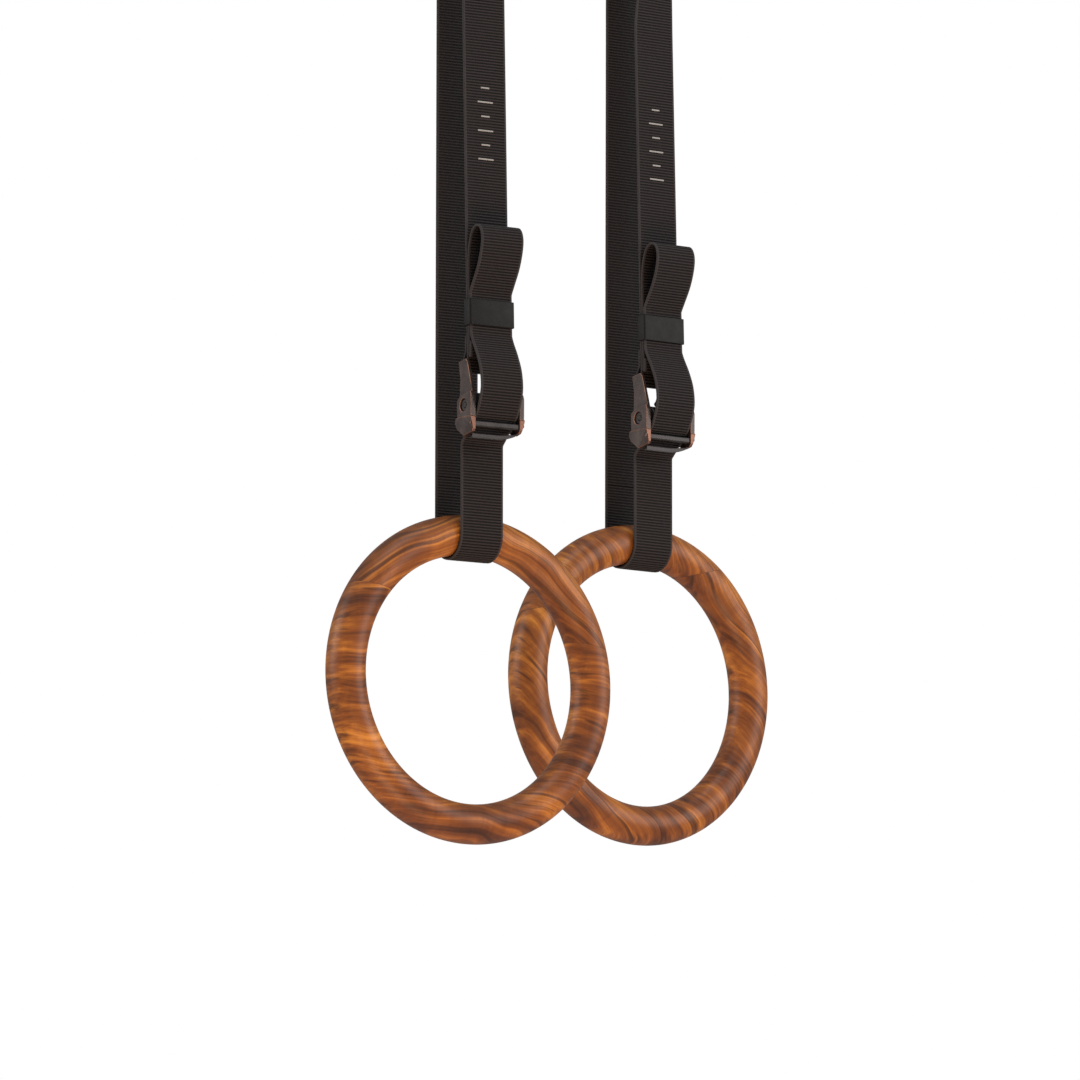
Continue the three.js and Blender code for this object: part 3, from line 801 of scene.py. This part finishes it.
def add_keeper(s):
    """A moulded band with rounded corners and rims, round the strap and both layers of the tail."""
    lean = math.atan2(s.front(0)[0] - s.front(100)[0], 100)
    middle = s.front(KEEPER_Z)
    back, front = HALF_THICK + GAP, LAYER * 2 + HALF_THICK + GAP
    corner, corner_steps = 0.6, 6
    inner = round_box(WEB_WIDTH + GAP * 2, front + back, corner, corner_steps)
    wall = round_box(KEEPER_THICK, KEEPER_HEIGHT, 0.4, 3)
    rows = []
    for i, (x, y) in enumerate(inner):
        quarter, step = divmod(i, corner_steps + 1)
        a = math.radians(90 * quarter + 90 * step / corner_steps)
        row = []
        for depth, height in wall:
            out = depth + KEEPER_THICK / 2
            row.append((x + math.cos(a) * out, y + (back - front) / 2 + math.sin(a) * out, height))
        rows.append(row)
    points, faces = loft(rows, closed=True)
    y, z = points[:, 1].copy(), points[:, 2].copy()
    points[:, 1] = middle[0] + y * math.cos(lean) - z * math.sin(lean)
    points[:, 2] = middle[1] + y * math.sin(lean) + z * math.cos(lean)
    keeper = add_mesh(f"{s.side}_keeper_band", points, faces, s, [BAND])
    shade_by_angle(keeper, 40)
    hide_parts(f"{s.side}_keeper")
    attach(keeper, f"{s.side}_keeper")


def shade_by_angle(piece, degrees):
    """Smooth shading, but crisp over edges sharper than this."""
    piece.data.set_sharp_from_angle(angle=math.radians(degrees))


# ---- buckle ----

# outlines of a cheek's arm, boss and foot, as [y, z]; the foot of cheek 2 is the short one
ARM = [
    (-18.9, 226.8), (-28.5, 228.4), (-30.8, 226), (-37, 205), (-38, 201), (-37.6, 190), (-20, 190),
    (-20.4, 200), (-21.2, 214),
]
BOSS = [(-37.2, 204), (-38.4, 200.5), (-38.2, 180), (-20, 180), (-19.2, 198.2), (-22.6, 200.8)]
FOOT = [
    (-38.4, 185.4), (-38.4, 176.4), (-37.2, 174.6), (-28.2, 171.8), (-20, 177.8), (-17.6, 181.8),
    (-18.6, 185.6),
]
SHORT_FOOT = [
    (-38.4, 185.4), (-38.4, 178), (-36.6, 175.6), (-28.5, 175), (-20, 179), (-17.6, 181.8),
    (-18.6, 185.6),
]
FOOT_TAPER = (0, 2.3, 2.5, 0.5, 0, 0, 0)  # how far each corner of the foot's outer face is cut back
ARM_THICK = 2.4
BOSS_THICK = 4.0
FOOT_THICK = 4.7
BORE_REACH = 6.0  # each way from the boss's middle, so that the bore goes right through
COPPER_FRONT = -36.0  # faces of the foot in front of this are copper-coloured


def stand_for(s, body, pieces):
    """Puts each (piece, CAD node, material slot) in its node's place, on a body of the set. The material
    slot is not used.
    """
    for piece, node, slot in pieces:
        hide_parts(f"{s.side}_{node}")
        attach(piece, f"{s.side}_{body}")


def plate(name, outline, hand, depth, taper=None):
    """A flat plate with a [y, z] outline on a cheek's inner plane, its outer face cut back by taper."""
    taper = taper or [0] * len(outline)
    inner = [(hand * CHEEK_INNER, y, z) for y, z in outline]
    outer = [(hand * (CHEEK_INNER + depth - cut), y, z) for (y, z), cut in zip(outline, taper)]
    points, faces = loft([inner, outer])
    piece = add_mesh(name, points, faces, None, [GUNMETAL], smooth=False)
    edit_mesh(piece.data, split_big_faces)
    return piece


def split_big_faces(shell):
    bmesh.ops.triangulate(shell, faces=[face for face in shell.faces if len(face.verts) > 4])


def merge_flat_faces(shell):
    """Clears up after a boolean: doubled points and the edges left inside flat faces."""
    bmesh.ops.remove_doubles(shell, verts=shell.verts, dist=0.05)
    flat = math.radians(1)
    bmesh.ops.dissolve_limit(shell, angle_limit=flat, verts=shell.verts, edges=shell.edges)


def combine(piece, other, operation):
    """Joins another solid to a piece, or cuts it away, and removes the other."""
    modifier = piece.modifiers.new(operation, "BOOLEAN")
    modifier.operation = operation
    modifier.solver = "EXACT"
    modifier.object = other
    apply_modifiers(piece)
    bpy.data.objects.remove(other)


def add_cheek(s, number, hand):
    """A cast cheek: a slim arm, a boss round the pivot's bore, and a foot with copper-coloured front faces.
    """
    cheek = plate(f"{s.side}_cheek_{number}", ARM, hand, ARM_THICK)
    foot = FOOT if hand < 0 else SHORT_FOOT
    combine(cheek, plate("boss", BOSS, hand, BOSS_THICK), "UNION")
    combine(cheek, plate("foot", foot, hand, FOOT_THICK, FOOT_TAPER), "UNION")
    middle = hand * (CHEEK_INNER + BOSS_THICK / 2)
    bore = chamfered(middle - BORE_REACH, middle + BORE_REACH, 0.01, BUSH_RADIUS + GAP / 2, 0)
    combine(cheek, add_mesh("bore", *turned(bore, s.cam), None, [GUNMETAL]), "DIFFERENCE")
    cheek.data.materials.clear()
    for material in (GUNMETAL, WORN_COPPER_AND_HIGHLIGHT, COPPER_COLOURED_FACE):
        cheek.data.materials.append(material)
    edit_mesh(cheek.data, merge_flat_faces)
    for face in cheek.data.polygons:
        ahead = face.center.y < COPPER_FRONT and face.normal.y < -0.6
        low_front = ahead and face.center.z < FOOT[0][1]
        face.material_index = 2 if low_front else 0
    cheek.data.transform(s.to_part)
    # The bevels take the worn copper that also paints the edges' highlight.
    finish_edges(cheek, 0.45, edge_material=1, clamp=False)
    stand_for(s, "straps", [(cheek, f"buckle_cheek_{number}", "buckle_frame")])


def add_cross_bars(s):
    """What runs from cheek to cheek: the crossbar, the guard plate under it, and the strap's anchor bar."""
    half = CHEEK_INNER - GAP
    y, z = CROSSBAR_AT
    corners = ((-2, -1.3), (-1.3, -2.1), (2, -2.1), (2, 2.1), (-1.4, 2.1), (-2, 1.4))
    rows = [[(x, y + a, z + b) for a, b in corners] for x in (-half, half)]
    crossbar = add_mesh(f"{s.side}_front_crossbar", *loft(rows), s, [DARK_METAL], smooth=False)
    finish_edges(crossbar, 0.3)
    height, thick, steps = 3.6, 2.6, 40
    rise, top_rise = 3.8, 2.0  # of the guard's lower and upper edge at its bowed end
    rows = []
    for i in range(steps + 1):
        x = -half + 2 * half * i / steps
        bow = max(0, x / half) ** 2
        low, tall = GUARD_AT[1] + rise * bow, height + (top_rise - rise) * bow
        rows.append([(x, GUARD_AT[0] + a, low + tall / 2 + b) for a, b in round_box(thick, tall, 0.4, 3)])
    guard = add_mesh(f"{s.side}_bowed_guard", *loft(rows), s, [DARK_METAL])
    shade_by_angle(guard, 50)
    profile = chamfered(-half, half, 0.01, ANCHOR_RADIUS, 0.5)
    anchor = add_mesh(f"{s.side}_strap_anchor", *turned(profile, ANCHOR_AT), s, [STEEL])
    shade_by_angle(anchor, 30)
    pieces = [(crossbar, "crossbar", "dark_metal"), (guard, "guard_plate", "dark_metal")]
    stand_for(s, "straps", [*pieces, (anchor, "anchor_bar", "steel")])


def add_cam(s):
    """The drum with its teeth, and the ridged thumb lever behind the tail."""
    y0, z0 = s.cam

    def at(degrees, radius):
        """The point so far from the cam's axis, in degrees from straight up towards -Y."""
        a = math.radians(degrees)
        return (y0 - radius * math.sin(a), z0 + radius * math.cos(a))

    outline = []
    steps, tooth_steps, tooth_depth, worn_depth = 120, 5, 0.75, 0.4
    for i in range(steps):
        degrees = 360 * i / steps
        if TEETH_FROM <= degrees <= TEETH_TO:
            depth = tooth_depth * (i % tooth_steps) / tooth_steps
        else:
            depth = worn_depth
        outline.append(at(degrees, CAM_RADIUS - depth))
    half, cut = CAM_WIDTH / 2, 0.6
    rows = []
    for x, shrink in ((-half, cut), (-half + cut, 0), (half - cut, 0), (half, cut)):
        scale = (CAM_RADIUS - shrink) / CAM_RADIUS
        rows.append([(x, y0 + (y - y0) * scale, z0 + (z - z0) * scale) for y, z in outline])
    drum = add_mesh(f"{s.side}_cam_drum", *loft(rows), s, [DARK_METAL])
    shade_by_angle(drum, 32)
    root, ridges, lever_half = CAM_RADIUS + 0.1, 4, 10
    outline = [at(degrees, root) for degrees in (62, 48, 34, 20)]
    outline += [at(12, root + 1.6), at(18, root + 3.2)]
    for k in range(ridges):
        outline += [at(19.5 + k * 0.7, root + 4 + k * 1.05), at(18.6 + k * 0.7, root + 4.5 + k * 1.05)]
    outline += [at(27, root + 8.2), at(31, root + 7.6), at(36, root + 3.2), at(58, root + 1.6)]
    rows = [[(x, y, z) for y, z in outline] for x in (-lever_half, lever_half)]
    lever = add_mesh(f"{s.side}_cam_lever", *loft(rows), s, [DARK_METAL, WORN_COPPER_AND_HIGHLIGHT], smooth=False)
    # The lever's bevels take the worn copper that also paints the edges' highlight.
    finish_edges(lever, 0.25, edge_material=1)
    stand_for(s, "cam", [(drum, "cam", "dark_metal"), (lever, "thumb_lever", "dark_metal")])


def add_pivot(s):
    """The pin with domed ends, a bush in each cheek, and the coil of the torsion spring."""
    half = CHEEK_INNER + BOSS_THICK - 0.9  # the pin's ends stay inside the cheeks' bores
    dome = [(-half, 0.01), (-half, 1.5), (-half + 0.25, 2.0), (-half + 0.6, PIN_RADIUS)]
    profile = [*dome, *[(-x, r) for x, r in reversed(dome)]]
    pin = add_mesh(f"{s.side}_pin", *turned(profile, s.cam), s, [DULL_STEEL])
    shade_by_angle(pin, 25)
    pieces = [(pin, "pivot_pin", "steel")]
    near, far = CHEEK_INNER + 0.2, CHEEK_INNER + 2.6
    for number, hand in ((1, -1), (2, 1)):
        ends = sorted((hand * near, hand * far))
        profile = chamfered(*ends, PIN_RADIUS + RUNNING_GAP, BUSH_RADIUS, 0.4)
        bush = add_mesh(f"{s.side}_bush_{number}", *turned(profile, s.cam), s, [DARK_METAL])
        shade_by_angle(bush, 30)
        pieces.append((bush, f"pivot_bush_{number}", "dark_metal"))
    turns, steps, radius, wire = 3, 32, 4.0, 0.35
    start = CAM_WIDTH / 2 + GAP + wire
    rise = (CHEEK_INNER - GAP - wire - start) / turns
    coil = []
    for i in range(turns * steps + 1):
        a = 2 * math.pi * i / steps
        y, z = s.cam[0] + radius * math.cos(a), s.cam[1] + radius * math.sin(a)
        coil.append((start + rise * i / steps, y, z))
    spring = add_mesh(f"{s.side}_torsion_spring", *loft(tube_rows(coil, wire)), s, [STEEL])
    stand_for(s, "straps", [*pieces, (spring, "cam_spring", "steel")])


for side in SIDES:
    the_set = Set(side)
    add_ring(the_set)
    add_strap(the_set)
    add_keeper(the_set)
    add_cheek(the_set, 1, -1)
    add_cheek(the_set, 2, 1)
    add_cross_bars(the_set)
    add_cam(the_set)
    add_pivot(the_set)

# ---- studio ----

FLOOR_Z = -2.6


def add_floor():
    """A plain pale floor well below the hanging rings."""
    bpy.ops.mesh.primitive_circle_add(vertices=96, radius=60, fill_type="NGON", location=(0, 0, FLOOR_Z))
    floor = bpy.context.object
    floor.name = "floor"
    n = Nodes("floor")
    floor.data.materials.append(n.finish((0.86, 0.86, 0.86), 0.9, Specular_IOR_Level=0.1))


def add_world():
    """White to look at, and softer as a light."""
    world = bpy.data.worlds.new("studio")
    world.use_nodes = True
    tree = world.node_tree
    background = tree.nodes["Background"]
    seen = tree.nodes.new("ShaderNodeLightPath").outputs["Is Camera Ray"]
    strength = tree.nodes.new("ShaderNodeMapRange")
    tree.links.new(seen, strength.inputs["Value"])
    strength.inputs["To Min"].default_value = 0.3
    strength.inputs["To Max"].default_value = 1.0
    background.inputs["Color"].default_value = (1, 1, 1, 1)
    tree.links.new(strength.outputs[0], background.inputs["Strength"])
    bpy.context.scene.world = world


def add_light(name, heading, height, distance, size, power, colour):
    """A soft square light, at a heading round the part's middle: 0 is the camera's side, 90 its right."""
    middle = Vector((0, 0, -0.45))
    data = bpy.data.lights.new(name, "AREA")
    data.shape = "SQUARE"
    data.size = size
    data.energy = power
    data.color = colour
    light = bpy.data.objects.new(name, data)
    a = CAMERA_HEADING + math.pi - math.radians(heading)
    away = Vector((math.sin(a), math.cos(a), 0)) * distance
    light.location = middle + away + Vector((0, 0, height))
    light.rotation_mode = "QUATERNION"
    light.rotation_quaternion = (middle - light.location).to_track_quat("-Z", "Y")
    bpy.context.scene.collection.objects.link(light)


add_floor()
add_world()
add_light("left_panel", -75, 0.7, 2.2, 1.6, 22, (1.0, 0.96, 0.92))
add_light("right_panel", 80, 0.5, 2.2, 1.6, 24, (1.0, 0.97, 0.94))
add_light("top_panel", 20, 2.3, 0.9, 1.4, 16, (1.0, 1.0, 1.0))
add_light("warm_low_fill", 12, -1.3, 1.5, 1.0, 18, (1.0, 0.60, 0.34))
bpy.context.scene.view_settings.view_transform = "Standard"
